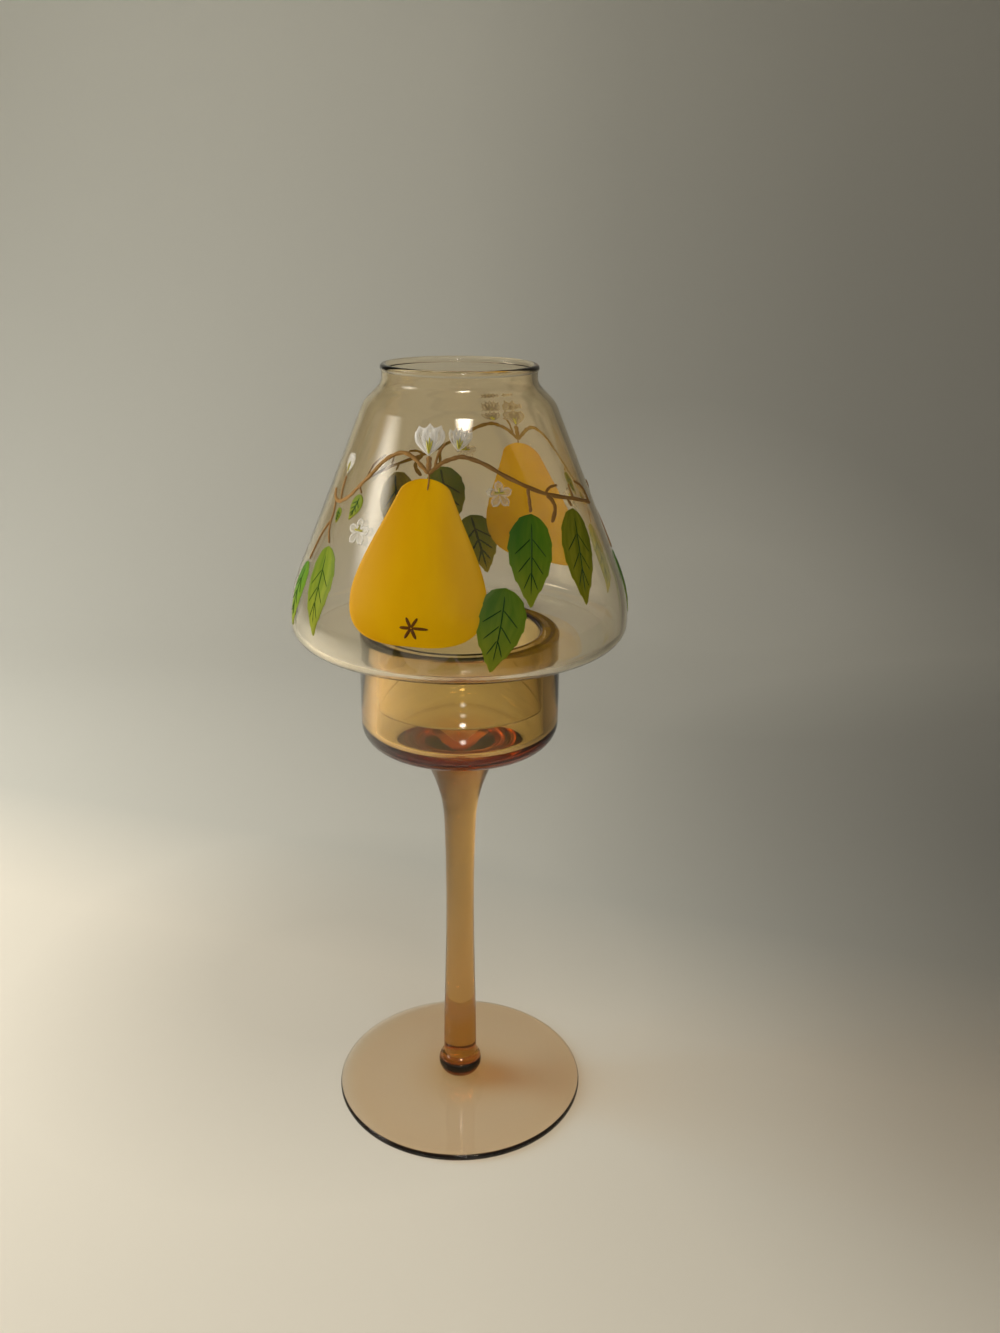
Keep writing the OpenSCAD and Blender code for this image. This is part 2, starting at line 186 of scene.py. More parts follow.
CURL_R = SHADE_R - CURL_ROUND
BELLY_R = SHADE_R - BELLY_ROUND
BELLY_Z = SEAT_Z + CURL_ROUND
NECK_Z = TOP_Z - BEAD_D / 2 - NECK_H
FILLET_R = NECK_R + NECK_ROUND
TILT = math.radians(SHOULDER_ANGLE)
CORNER_R = FILLET_R - NECK_ROUND * math.cos(TILT) + SHOULDER_W * math.sin(TILT)
CORNER_Z = NECK_Z - NECK_ROUND * math.sin(TILT) - SHOULDER_W * math.cos(TILT)


def cone_slope():
    """Angle of the cone's surface from upright, in radians: it touches the belly's arc."""
    run, rise = CORNER_R - BELLY_R, CORNER_Z - BELLY_Z
    return math.atan2(rise, run) - math.acos(BELLY_ROUND / math.hypot(run, rise))


CONE = cone_slope()
BELLY_TOP = BELLY_Z + BELLY_ROUND * math.sin(CONE)


def wall_line(depth):
    """The shade's wall at a depth under its outer surface, from the bottom edge to the neck."""
    cone = math.degrees(CONE)
    cut = SHOULDER_ROUND * math.tan((TILT - CONE) / 2)
    centre_r = CORNER_R + cut * math.sin(CONE) - SHOULDER_ROUND * math.cos(CONE)
    centre_z = CORNER_Z - cut * math.cos(CONE) - SHOULDER_ROUND * math.sin(CONE)
    return (
        arc(CURL_R, BELLY_Z, CURL_ROUND - depth, -90, 0, 24)
        + arc(BELLY_R, BELLY_Z, BELLY_ROUND - depth, 0, cone, 16)[1:]
        + arc(centre_r, centre_z, SHOULDER_ROUND - depth, cone, SHOULDER_ANGLE, 10)
        + arc(FILLET_R, NECK_Z, -NECK_ROUND - depth, SHOULDER_ANGLE, 0, 14)
    )


def shade_outline():
    """Closed outline of the shade's glass: collar, wall, melted rim, and back down inside."""
    bead_r = BEAD_D / 2
    bead_c = NECK_R - SHADE_WALL + bead_r
    bead_start = -math.degrees(math.acos((NECK_R - bead_c) / bead_r))
    collar_r = CUP_R - CUP_WALL - COLLAR_GAP
    half = SHADE_WALL / 2
    return (
        arc(collar_r - half, COLLAR_Z + half, half, -180, 0, 14)
        + [(collar_r, SEAT_Z)]
        + wall_line(0)
        + arc(bead_c, TOP_Z - bead_r, bead_r, bead_start, 180, 20)
        + wall_line(SHADE_WALL)[::-1]
        + arc(collar_r, SEAT_Z, SHADE_WALL, 90, 180, 8)
    )


# ---------------------------------------------------------------- meshes


def add_object(name, points, faces, sharp_angle=None):
    """A smooth mesh object from points in mm."""
    mesh = bpy.data.meshes.new(name)
    mesh.from_pydata([(x * MM, y * MM, z * MM) for x, y, z in points], [], faces)
    mesh.validate()
    mesh.shade_smooth()
    if sharp_angle:
        mesh.set_sharp_from_angle(angle=math.radians(sharp_angle))
    piece = bpy.data.objects.new(name, mesh)
    bpy.context.scene.collection.objects.link(piece)
    return piece


def revolve(name, outline, steps, closed=False, sharp_angle=None):
    """Turns an outline of (radius, height) round +Z. A point on the axis becomes a pole."""
    points, rings = [], []
    for r, z in outline:
        ring = []
        for k in range(steps if r > 0 else 1):
            a = 2 * math.pi * k / steps
            ring.append(len(points))
            points.append((r * math.sin(a), -r * math.cos(a), z))
        rings.append(ring)
    faces = []
    pairs = list(zip(rings, rings[1:] + rings[:1] if closed else rings[1:]))
    for low, high in pairs:
        for k in range(steps):
            n = (k + 1) % steps
            if len(low) == 1:
                faces.append((low[0], high[n], high[k]))
            elif len(high) == 1:
                faces.append((low[k], low[n], high[0]))
            else:
                faces.append((low[k], low[n], high[n], high[k]))
    return add_object(name, points, faces, sharp_angle)


# ---------------------------------------------------------------- the bough on the glass

# Leaves: angle and height of the stalk end, lean, length, width, and how olive it is
LEAF_SET = [
    (29.5, 25.4, -15, 21.6, 13, 0.15),
    (44, 42.2, -13, 24.4, 12.6, 0),
    (68, 41.6, -15, 26.2, 12, 0.7),
    (-43.8, 31.2, 8, 24.4, 11, 0.4),
    (-56.8, 25, -6, 19, 8.4, 0),
    (-32.6, 45.4, -18, 7.4, 4.2, 0.5),
    (-44.7, 41, 4, 4.2, 2.6, 0.5),
]
# Twigs: share of the full width, then points of angle and height
TWIG_SET = [
    (1, [(-55.6, 45), (-53.4, 43.2), (-50, 42.4), (-46, 42.6), (-40.6, 44.4), (-35.6, 47.4),
         (-30, 50.9), (-23.5, 54.8), (-15.3, 56.9), (-9, 56.2), (-4, 54.2), (0, 52.4)]),
    (1, [(0, 52.4), (5.2, 54.9), (11, 56.2), (16, 56.5), (25, 54.9), (37, 51), (53.5, 46.5),
         (72.6, 43.5), (88, 40.8)]),
    (0.7, [(-51, 42.5), (-49, 39.4), (-48.8, 37.2), (-47.4, 34.6), (-44.2, 31.8)]),
    (0.6, [(-48.8, 37.4), (-53.4, 32.6), (-56.6, 25.6)]),
    (0.9, [(44.8, 48.7), (44.4, 45.6), (44, 42.6)]),
    (1.2, [(54, 46.4), (56.6, 44.4), (56.8, 42.4), (53.4, 39.4)]),
    (1.3, [(-0.4, 52.8), (-0.5, 54.6), (-0.7, 56.6)]),
    (0.45, [(0, 52.4), (0.3, 50.6), (0.1, 48.4)]),
    (0.7, [(66.4, 44.4), (67.8, 42.1)]),
    (0.7, [(53.6, 46.6), (57, 47.8), (62, 48)]),
    (0.6, [(2.4, 53.6), (3.6, 57), (7, 59.8)]),
    (0.6, [(71, 43.8), (70.4, 47.6)]),
    (0.7, [(86, 41.2), (83.6, 45.4), (76.4, 47.8)]),
    (0.5, [(-35.4, 47.6), (-34.4, 46.8), (-32.8, 45.8)]),
    (0.7, [(-46, 42.7), (-48, 45.4), (-48.6, 48.8)]),
]
# Blossoms: angle and height of the base, lean, size, first and last petal angle, petals,
# and how much the paint covers
BLOSSOM_SET = [
    (-1, 56.7, 2, 1.12, -20, 22, 3, 0.85),
    (13.2, 57.9, -8, 0.84, -28, 28, 5, 0.7),
    (-48.8, 49.4, 6, 0.8, -12, 12, 3, 0.4),
    (-28.7, 36.6, 0, 0.9, -144, 144, 5, 0.5),
    (31, 47.4, 0, 0.86, -144, 144, 5, 0.5),
]

COAT_H = 0.2
LINE_H = 0.35
SUNK = -0.03
EDGE_SHARE = 0.3
TWIG_W = 1.1
VEIN_W = 0.35
BLOSSOM_R = 3.9
ALL_ROUND = 90
FRONT_SHARE = 0.58


def wall_at(z):
    """Radius of the shade's outer surface and tilt of its normal, on the cone or the belly."""
    if z > BELLY_TOP:
        return CORNER_R + (CORNER_Z - z) * math.tan(CONE), CONE
    rise = z - BELLY_Z
    return BELLY_R + math.sqrt(BELLY_ROUND**2 - rise**2), math.asin(rise / BELLY_ROUND)


def lifted(turn, z, lift):
    """A point at an angle (radians) and height on the shade, lifted off its surface."""
    r, tilt = wall_at(z)
    r += lift * math.cos(tilt)
    return (r * math.sin(turn), -r * math.cos(turn), z + lift * math.sin(tilt))


def at_wall(turn, height, lean):
    """Lays a flat drawing against the wall as the CAD does. Returns its (x, y, lift) map."""
    a, l = math.radians(turn), math.radians(lean)
    z = SEAT_Z + height
    r, _ = wall_at(z)
    start = Vector((r * math.sin(a), -r * math.cos(a), z))
    right = Vector((math.cos(a), math.sin(a), 0))
    up = Vector((-math.sin(a) * math.sin(CONE), math.cos(a) * math.sin(CONE), math.cos(CONE)))
    out = right.cross(up)
    across = right * math.cos(l) + up * math.sin(l)
    along = up * math.cos(l) - right * math.sin(l)

    def put(x, y, lift):
        p = start + across * x + along * y
        for _ in range(8):
            p = p - out * (math.hypot(p.x, p.y) - wall_at(p.z)[0]) * math.cos(CONE)
        return lifted(math.atan2(p.x, -p.y), p.z, lift)

    return put


class Skin:
    """Collects closed skins of enamel in one mesh, with a paint coordinate at each point:
    x across from -1 to 1, y along from 0 to 1, z a value for the whole skin. The side that
    lies on the glass is marked as under."""

    def __init__(self):
        self.points, self.faces, self.paint, self.under = [], [], [], []

    def add(self, place, rows, cols, height, value=0.0, base=0.0):
        """place(s, t, lift) gives the point at share s across and t along."""
        start = len(self.points)
        for under in (True, False):
            for t in spaced(0, 1, rows):
                for s in spaced(-1, 1, cols):
                    edge = abs(s) > 0.999 or t < 0.001 or t > 0.999
                    top = base + height * (EDGE_SHARE if edge else 1)
                    self.points.append(place(s, t, SUNK if under else top))
                    self.paint.append((s, t, value))
                    self.under.append(float(under))
        wide, layer = cols + 1, (rows + 1) * (cols + 1)

        def corner(i, j, top):
            return start + i * wide + j + (layer if top else 0)

        for i in range(rows):
            for j in range(cols):
                for top in (True, False):
                    face = [corner(i, j, top), corner(i, j + 1, top),
                            corner(i + 1, j + 1, top), corner(i + 1, j, top)]
                    self.faces.append(face if top else face[::-1])
        rim = [(0, j) for j in range(cols)] + [(i, cols) for i in range(rows)]
        rim += [(rows, j) for j in range(cols, 0, -1)] + [(i, 0) for i in range(rows, 0, -1)]
        for (i, j), (k, l) in zip(rim, rim[1:] + rim[:1]):
            self.faces.append([corner(i, j, False), corner(k, l, False),
                               corner(k, l, True), corner(i, j, True)])

    def finish(self, name, nodes, slot):
        """Makes the object, which rides on the shade and stands for its CAD nodes."""
        piece = add_object(name, self.points, self.faces, sharp_angle=50)
        recalculate(piece.data)
        paint = piece.data.attributes.new("paint", "FLOAT_VECTOR", "POINT")
        paint.data.foreach_set("vector", [c for p in self.paint for c in p])
        under = piece.data.attributes.new("under", "FLOAT", "POINT")
        under.data.foreach_set("value", self.under)
        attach(piece, "shade")
        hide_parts(*nodes)
        return piece


def recalculate(mesh):
    """Turns every face outward."""
    import bmesh

    work = bmesh.new()
    work.from_mesh(mesh)
    bmesh.ops.recalc_face_normals(work, faces=work.faces)
    work.to_mesh(mesh)
    work.free()


def on_boughs(turn):
    """The angle of a feature on each of the two boughs."""
    return [turn + FRUIT_TURN, turn + FRUIT_TURN + BOUGH_TURN]


def fruit_side(t):
    """Half the width of a fruit at share t of its height, from the bottom."""
    low, neck, waist, cap, square = 0.3, 5.4, 1.1, 0.93, 2.8
    if t < low:
        return FRUIT_W / 2 * (1 - ((low - t) / low) ** square) ** (1 / square)
    u = ((t - low) / (1 - low)) ** 1.5
    flank = neck + (FRUIT_W / 2 - neck) * (1 - u) - waist * math.sin(math.pi * u)
    return flank * (1 if t < cap else math.sqrt(max(0, 1 - ((t - cap) / (1 - cap)) ** 2)))


def build_fruit():
    skin = Skin()
    for number, turn in enumerate(on_boughs(FRUIT_OFFSET)):
        put = at_wall(turn, FRUIT_Z, 0)

        def place(s, t, lift):
            share = (1 - math.cos(math.pi * (0.02 + 0.96 * t))) / 2
            return put(s * fruit_side(share), FRUIT_H * (share - 0.5), lift)

        skin.add(place, 48, 40, COAT_H, number)
    return skin.finish("fruit_enamel", ["fruit"], "fruit_enamel")


LEAF_TEETH = 6
LEAF_TOOTH = 0.45
LEAF_ROWS = 36


def leaf_side(t, w):
    """Half the width of a leaf at share t of its length from the stalk."""
    if not 0 < t < 1:
        return 0.03
    taper = 1 - 0.35 * (max(t - 0.6, 0) / 0.4) ** 2
    return max(w / 2 * math.sin(math.pi * t**0.68) ** 0.8 * taper, 0.03)


def toothed(s, t, w):
    """Place across a leaf, with saw teeth along its edges that don't face each other."""
    tooth = LEAF_TOOTH * w / 12 * ((t * LEAF_TEETH + (0.5 if s < 0 else 0)) % 1) ** 2
    return s * (leaf_side(t, w) + (tooth if 0.05 < t < 0.98 else 0))


def build_leaves():
    skin = Skin()
    for turn, height, lean, length, width, olive in LEAF_SET:
        for real_turn in on_boughs(turn):
            put = at_wall(real_turn, height, lean)

            def place(s, t, lift):
                return put(toothed(s, t, width), -length * t, lift + 0.03)

            skin.add(place, LEAF_ROWS, 10, COAT_H, olive)
    return skin.finish("leaf_enamel", ["leaves"], "leaf_enamel")


def stroke(skin, put, start, end, width, height, value=0.0, bend=0.0):
    """A brush stroke on a flat drawing, full at its start and pointed at its end."""
    a, b = Vector(start), Vector(end)
    along = b - a
    side = Vector((-along.y, along.x)).normalized()

    def place(s, t, lift):
        half = width / 2 * (0.45 + 1.2 * t) * (1 - t) ** 0.6 / 0.62 + 0.02
        p = a + along * t + side * (s * half + bend * math.sin(math.pi * t))
        return put(p.x, p.y, lift)

    skin.add(place, 8, 2, height, value)


VEIN_SHARE = (0.26, 0.45, 0.62)
VEIN_FALL = 0.2
VEIN_REACH = 0.8


def build_veins():
    skin = Skin()
    for turn, height, lean, length, width, olive in LEAF_SET:
        for real_turn in on_boughs(turn):
            put = at_wall(real_turn, height, lean)
            stroke(skin, put, (0, -0.05 * length), (0, -0.93 * length), VEIN_W * 1.9, LINE_H, olive, 0.15)
            for t in VEIN_SHARE:
                for side in (-1, 1):
                    low = t + VEIN_FALL
                    tip = (side * VEIN_REACH * leaf_side(low, width), -length * low)
                    stroke(skin, put, (0, -length * t), tip, VEIN_W * 1.5, LINE_H, olive)
    return skin.finish("vein_enamel", ["leaf_veins"], "vein_enamel")


EYE_RAYS = 6
EYE_R = 3.2
EYE_DROP = FRUIT_H * 0.39


def build_eyes():
    skin = Skin()
    for turn in on_boughs(FRUIT_OFFSET):
        put = at_wall(turn, FRUIT_Z, 0)
        for k in range(EYE_RAYS):
            a = 2 * math.pi * k / EYE_RAYS
            reach = EYE_R * (1.5 if k == 0 else 1)
            tip = (reach * math.cos(a), -EYE_DROP + reach * math.sin(a))
            stroke(skin, put, (0, -EYE_DROP), tip, 1.1, LINE_H + 0.01 * k)
    return skin.finish("fruit_eye_enamel", ["fruit_eyes"], "brown_enamel")


def smooth(points, steps):
    """Points along a Catmull-Rom line through the given ones."""
    last = len(points) - 1
    line = []
    for i in range(last):
        a, b, c, d = (points[max(0, min(last, k))] for k in (i - 1, i, i + 1, i + 2))
        for j in range(steps + (i == last - 1)):
            t = j / steps
            line.append(tuple(
                0.5 * (2 * q + (r - p) * t + (2 * p - 5 * q + 4 * r - u) * t * t
                       + (3 * q - p - 3 * r + u) * t**3)
                for p, q, r, u in zip(a, b, c, d)))
    return line


def build_twigs():
    skin = Skin()
    for number, (share, points) in enumerate(TWIG_SET):
        for first in on_boughs(0):
            line = smooth(points, 10)
            flat = []
            for turn, height in line:
                r, _ = wall_at(SEAT_Z + height)
                flat.append(Vector((math.radians(turn) * r, height / math.cos(CONE))))

            def place(s, t, lift):
                k = t * (len(line) - 1)
                i = min(int(k), len(line) - 2)
                u = k - i
                turn = line[i][0] + (line[i + 1][0] - line[i][0]) * u
                height = line[i][1] + (line[i + 1][1] - line[i][1]) * u
                run = (flat[min(i + 1, len(line) - 1)] - flat[max(i - 1, 0)]).normalized()
                end = min(k, len(line) - 1 - k) / 3
                half = TWIG_W * share / 2 * min(1, 0.35 + end) * (1 + 0.12 * math.sin(k * 0.9 + number))
                r, _ = wall_at(SEAT_Z + height)
                z = SEAT_Z + height + run.x * s * half * math.cos(CONE)
                return lifted(math.radians(turn + first) - run.y * s * half / r, z, lift)

            skin.add(place, len(line) - 1, 4, 0.3, number)
    return skin.finish("twig_enamel", ["twigs"], "brown_enamel")


def build_blossoms():
    petals, stamens = Skin(), Skin()
    for turn, height, lean, size, low, high, count, cover in BLOSSOM_SET:
        front = high > ALL_ROUND
        r = BLOSSOM_R * size * (FRONT_SHARE if front else 1)
        for real_turn in on_boughs(turn):
            put = at_wall(real_turn, height, lean)
            for i, angle in enumerate(spaced(low, high, count - 1)):
                a = math.radians(angle)
                share = 0.62 if front else 1.5 / count

                def place(s, t, lift):
                    x = s * max(r * share * math.sin(math.pi * (0.02 + 0.96 * t) ** 1.3) ** 0.8, 0.02)
                    y = 1.9 * r * (t - (0.05 * s * s if t > 0.9 else 0))
                    return put(x * math.cos(a) - y * math.sin(a), x * math.sin(a) + y * math.cos(a), lift)

                petals.add(place, 14, 8, 0.14, cover, base=0.012 * i)
            reach = BLOSSOM_R * size * (0.5 if front else 1)
            for t in (-0.5, 0, 0.5):
                b = math.radians(high * t)
                tip = reach * (1.1 - abs(t) * 0.3)
                stroke(stamens, put, (0, 0.4), (tip * math.sin(b), tip * math.cos(b)), 0.5, LINE_H)
    petals.finish("blossom_enamel", ["blossoms"], "blossom_enamel")
    stamens.finish("stamen_enamel", ["stamens"], "stamen_enamel")


# ---------------------------------------------------------------- materials


def linear(r, g, b):
    """A colour seen on screen, 0 to 255, as the renderer's own."""
    return tuple((c / 255) ** 2.2 for c in (r, g, b)) + (1,)


class Nodes:
    """A material's node tree with short ways to add to it."""

    def __init__(self, name):
        self.mat = bpy.data.materials.new(name)
        self.mat.use_nodes = True
        self.tree = self.mat.node_tree
        self.tree.nodes.clear()
        self.out = self.tree.nodes.new("ShaderNodeOutputMaterial")

    def add(self, kind, links=None, **settings):
        """A node with its settings, its sockets' values and what feeds them."""
        node = self.tree.nodes.new("ShaderNode" + kind)
        for key, value in settings.items():
            setattr(node, key, value)
        for key, value in (links or {}).items():
            if isinstance(value, bpy.types.NodeSocket):
                self.tree.links.new(value, node.inputs[key])
            else:
                node.inputs[key].default_value = value
        return node

    def ramp(self, source, stops):
        """A colour ramp of (place, colour)."""
        node = self.add("ValToRGB", {"Fac": source})
        element = node.color_ramp.elements
        while len(element) < len(stops):
            element.new(0.5)
        for e, (place, colour) in zip(element, stops):
            e.position, e.color = place, colour
        return node.outputs["Color"]

    def value_ramp(self, source, low, high, to_low=0.0, to_high=1.0):
        node = self.add("MapRange", {"Value": source, "From Min": low, "From Max": high,
                                     "To Min": to_low, "To Max": to_high})
        return node.outputs["Result"]

    def mix(self, share, a, b):
        node = self.tree.nodes.new("ShaderNodeMix")
        node.data_type = "RGBA"
        for key, value in ((0, share), (6, a), (7, b)):
            if isinstance(value, bpy.types.NodeSocket):
                self.tree.links.new(value, node.inputs[key])
            else:
                node.inputs[key].default_value = value
        return node.outputs[2]

    def paint(self):
        """Across, along and the skin's own value."""
        node = self.add("Attribute", attribute_name="paint", attribute_type="GEOMETRY")
        split = self.add("SeparateXYZ", {"Vector": node.outputs["Vector"]})
        return node.outputs["Vector"], split.outputs["X"], split.outputs["Y"], split.outputs["Z"]

    def streaks(self, paint, scale, amount_across, amount_along):
        """Noise drawn out along the brush strokes."""
        stretch = self.add("Mapping", {"Vector": paint, "Scale": (amount_across, amount_along, 7)})
        return self.add("TexNoise", {"Vector": stretch.outputs["Vector"], "Scale": scale,
                                     "Detail": 3}).outputs["Fac"]

    def surface(self, shader):
        self.tree.links.new(shader.outputs[0], self.out.inputs["Surface"])
        return self.mat


# Tint of one pass through the glass from a height on, besides what its thickness takes
AMBER_TINTS = (
    (KNOP_Z - 0.8, (1, 1, 1, 1)),
    (KNOP_Z + 0.7, (0.62, 0.57, 0.2, 1)),
    (STEM_Z - 0.3, (0.62, 0.57, 0.2, 1)),
    (STEM_Z + 1, (0.73, 0.62, 0.25, 1)),
    (STEM_Z + 14, (0.74, 0.63, 0.28, 1)),
    (STEM_Z + 30, (0.78, 0.66, 0.36, 1)),
    (CUP_Z - 20, (0.78, 0.66, 0.36, 1)),
    (CUP_Z - 6, (0.98, 0.95, 0.66, 1)),
)
CLEAR_TINTS = (
    (SEAT_Z + 20, (1, 1, 1, 1)),
    (SEAT_Z + 45, (1, 0.953, 0.853, 1)),
)


def glass(name, tint, absorb, density, waviness, tints):
    """Tinted glass. Light from lamps and from pale surfaces reaches what is behind it
    through a transparent shader, as it would through real glass."""
    n = Nodes(name)
    place = n.add("TexCoord").outputs["Object"]
    height = n.value_ramp(n.add("SeparateXYZ", {"Vector": place}).outputs["Z"], 0, TOP_Z * MM)
    base = n.ramp(height, [(z / TOP_Z, colour) for z, colour in tints])
    wave = n.add("TexNoise", {"Vector": place, "Scale": 38.0, "Detail": 1.5})
    fine = n.add("TexNoise", {"Vector": place, "Scale": 420.0, "Detail": 2.0})
    bump = n.add("Bump", {"Height": wave.outputs["Fac"], "Strength": waviness,
                          "Distance": 0.0004})
    rough = n.value_ramp(fine.outputs["Fac"], 0.35, 0.75, 0.0, 0.015)
    body = n.add("BsdfPrincipled", {"Base Color": base, "Roughness": rough, "IOR": 1.5,
                                    "Transmission Weight": 1.0, "Normal": bump.outputs["Normal"]})
    through = n.add("BsdfTransparent", {"Color": tint})
    path = n.add("LightPath")
    lit = n.add("MixShader", {0: path.outputs["Is Shadow Ray"], 1: body.outputs[0],
                              2: through.outputs[0]})
    mixed = n.add("MixShader", {0: path.outputs["Is Diffuse Ray"], 1: lit.outputs[0],
                                2: through.outputs[0]})
    inside = n.add("VolumeAbsorption", {"Color": absorb, "Density": density})
    n.tree.links.new(inside.outputs[0], n.out.inputs["Volume"])
    return n.surface(mixed)


UNDER_TONE = (0.78, 1, 0.08, 1)
# The petals' glass side is dark: partly the thin paint, partly painted shade
UNDER_PETAL_SHADE = (0.28, 0.27, 0.18, 1)
UNDER_LEAF = (1, 0.88, 0.4, 1)


def enamel(n, colour, roughness, bump_source, through=0.25, bump_strength=0.25,
           under_tone=UNDER_TONE):
    """Fired enamel: glossy paint that lets a little light through, duller on the glass side; on the
    petals that side is partly painted shade.
    """
    under = n.add("Attribute", attribute_name="under", attribute_type="GEOMETRY").outputs["Fac"]
    dull = n.mix(under, (1, 1, 1, 1), under_tone)
    colour = n.add("VectorMath", {0: colour, 1: dull}, operation="MULTIPLY").outputs["Vector"]
    bump = n.add("Bump", {"Height": bump_source, "Strength": bump_strength, "Distance": 0.0001})
    normal = bump.outputs["Normal"]
    face = n.add("BsdfPrincipled", {"Base Color": colour, "Roughness": roughness, "IOR": 1.5,
                                    "Specular IOR Level": 0.15, "Normal": normal})
    back = n.add("BsdfTranslucent", {"Color": colour, "Normal": normal})
    return n.add("MixShader", {0: through, 1: face.outputs[0], 2: back.outputs[0]})


def fruit_paint():
    n = Nodes("fruit_paint")
    paint, across, along, which = n.paint()
    dabs = n.streaks(paint, 2.0, 1.0, 1.3)
    golden = n.ramp(dabs, [(0.3, linear(228, 174, 3)), (0.7, linear(236, 186, 6))])
    # The left flank is painted darker and more orange: partly the paint's own tone, partly painted shade
    # that evens out the window light on that side.
    flank = n.value_ramp(across, 0.3, -1.0, 0, 0.9)
    flank_tone_and_shade = n.mix(flank, golden, linear(198, 144, 4))
    side = n.add("Math", {0: across}, operation="ABSOLUTE").outputs[0]
    colour = n.mix(n.value_ramp(side, 0.96, 1.0, 0, 0.4), flank_tone_and_shade, linear(205, 156, 18))
    return n.surface(enamel(n, colour, 0.38, dabs, 0.35, 0.1))


def leaf_paint():
    n = Nodes("leaf_paint")
    paint, across, along, olive = n.paint()
    brush = n.streaks(paint, 3.0, 1.5, 0.8)
    fresh = n.ramp(brush, [(0.3, linear(88, 134, 38)), (0.7, linear(118, 150, 44))])
    tip = n.mix(n.value_ramp(along, 0.35, 1.0, 0, 0.8), fresh, linear(158, 164, 50))
    upper = n.value_ramp(along, 0.7, 0.2, 0, 1)
    left = n.value_ramp(across, 0.4, -0.7, 0, 0.8)
    dark = n.add("Math", {0: upper, 1: left}, operation="MULTIPLY").outputs[0]
    sided = n.mix(dark, tip, linear(70, 118, 46))
    old = n.ramp(brush, [(0.35, linear(124, 120, 24)), (0.65, linear(156, 150, 44))])
    colour = n.mix(olive, sided, old)
    return n.surface(enamel(n, colour, 0.36, brush, 0.45, under_tone=UNDER_LEAF))


def vein_paint():
    n = Nodes("vein_paint")
    paint, across, along, olive = n.paint()
    brush = n.streaks(paint, 4.0, 1.0, 1.0)
    colour = n.ramp(brush, [(0.3, linear(18, 52, 22)), (0.7, linear(40, 78, 26))])
    return n.surface(enamel(n, colour, 0.4, brush, 0.1))


def brown_paint(name, dark, light):
    n = Nodes(name)
    paint, across, along, number = n.paint()
    brush = n.streaks(paint, 3.0, 1.4, 6.0)
    colour = n.ramp(brush, [(0.35, dark), (0.65, light)])
    edge = n.mix(n.value_ramp(across, 0.2, 1.0, 0, 0.6), colour, dark)
    return n.surface(enamel(n, edge, 0.38, brush, 0.2))


def petal_paint():
    """White paint, thick at a petal's edge and thin in its middle."""
    n = Nodes("petal_paint")
    paint, across, along, cover = n.paint()
    brush = n.streaks(paint, 4.0, 3.0, 0.6)
    side = n.add("Math", {0: across}, operation="ABSOLUTE").outputs[0]
    rim = n.value_ramp(side, 0.3, 0.9, 0.45, 0.95)
    tip = n.value_ramp(along, 0.7, 1.0, 0.0, 0.5)
    thick = n.add("Math", {0: rim, 1: tip}, operation="ADD").outputs[0]
    patchy = n.add("Math", {0: thick, 1: n.value_ramp(brush, 0.3, 0.7, 0.55, 1.05)},
                   operation="MULTIPLY", use_clamp=True).outputs[0]
    coverage = n.add("Math", {0: patchy, 1: cover}, operation="MULTIPLY").outputs[0]
    white = n.ramp(brush, [(0.3, linear(230, 224, 210)), (0.7, linear(250, 248, 240))])
    # The glass side of the petals is painted dark, partly as painted shade
    coat = enamel(n, white, 0.4, brush, 0.2, under_tone=UNDER_PETAL_SHADE)
    clear = n.add("BsdfTransparent", {"Color": (1, 1, 1, 1)})
    return n.surface(n.add("MixShader", {0: coverage, 1: clear.outputs[0], 2: coat.outputs[0]}))


def stamen_paint():
    n = Nodes("stamen_paint")
    paint, across, along, number = n.paint()
    brush = n.streaks(paint, 3.0, 1.0, 2.0)
    colour = n.ramp(brush, [(0.3, linear(150, 140, 40)), (0.7, linear(196, 188, 90))])
    return n.surface(enamel(n, colour, 0.4, brush, 0.2))


# Painted shadows on the floor, a far dim one and a near one by the foot, and a painted pool of light at
# the foot of the wall: the middle of each
DIM_SPOT = (0.37, 0.09, 0)
NEAR_SHADOW_SPOT = (-0.05, 0.06, 0)
LIT_SPOT = (0.19, 0.52, 0.02)


